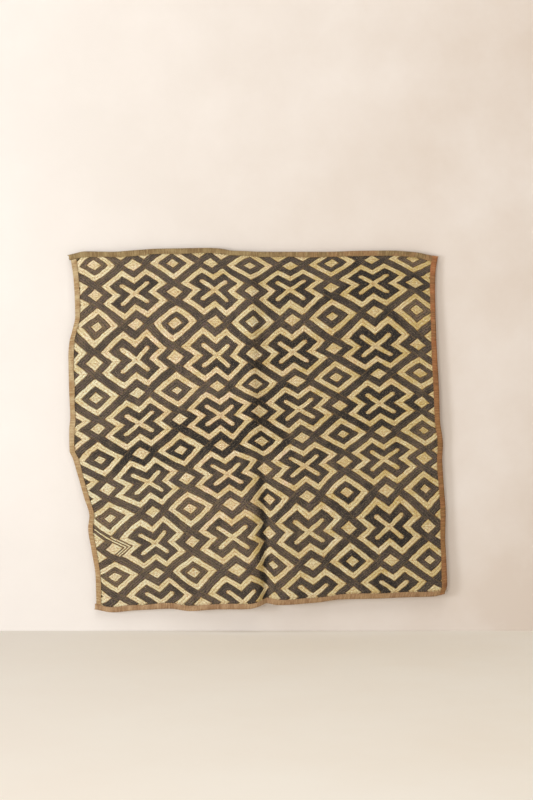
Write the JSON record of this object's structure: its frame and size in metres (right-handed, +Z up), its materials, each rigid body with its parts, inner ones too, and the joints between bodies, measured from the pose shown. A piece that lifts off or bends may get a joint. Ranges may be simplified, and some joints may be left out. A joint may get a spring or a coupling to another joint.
{
  "type": "kuba raffia cloth",
  "caption": "Embroidered raffia wall cloth, near square, hanging by its top edge with folded-out creases and narrow binding strips.",
  "frame": {"origin": "middle of the cloth's top edge, where it is fastened to the wall", "axes": "+Z up, +X to the right as the cloth is seen from the front, the embroidered face looks along -Y and the wall lies towards +Y"},
  "size_m": [0.5993, 0.0363, 0.5755],
  "materials": {
    "embroidered_raffia": "rowed raffia stitching, charcoal and straw",
    "binding_olive": "plain folded raffia strip, olive tan",
    "binding_tan": "plain folded raffia strip, tan-orange",
    "binding_brown": "plain folded raffia strip, orange-brown"
  },
  "bodies": {
    "root": {"raffia_panel": "embroidered_raffia", "binding_top": "binding_olive", "binding_bottom": "binding_olive", "binding_left": "binding_tan", "binding_right": "binding_brown"}
  },
  "joints": []
}
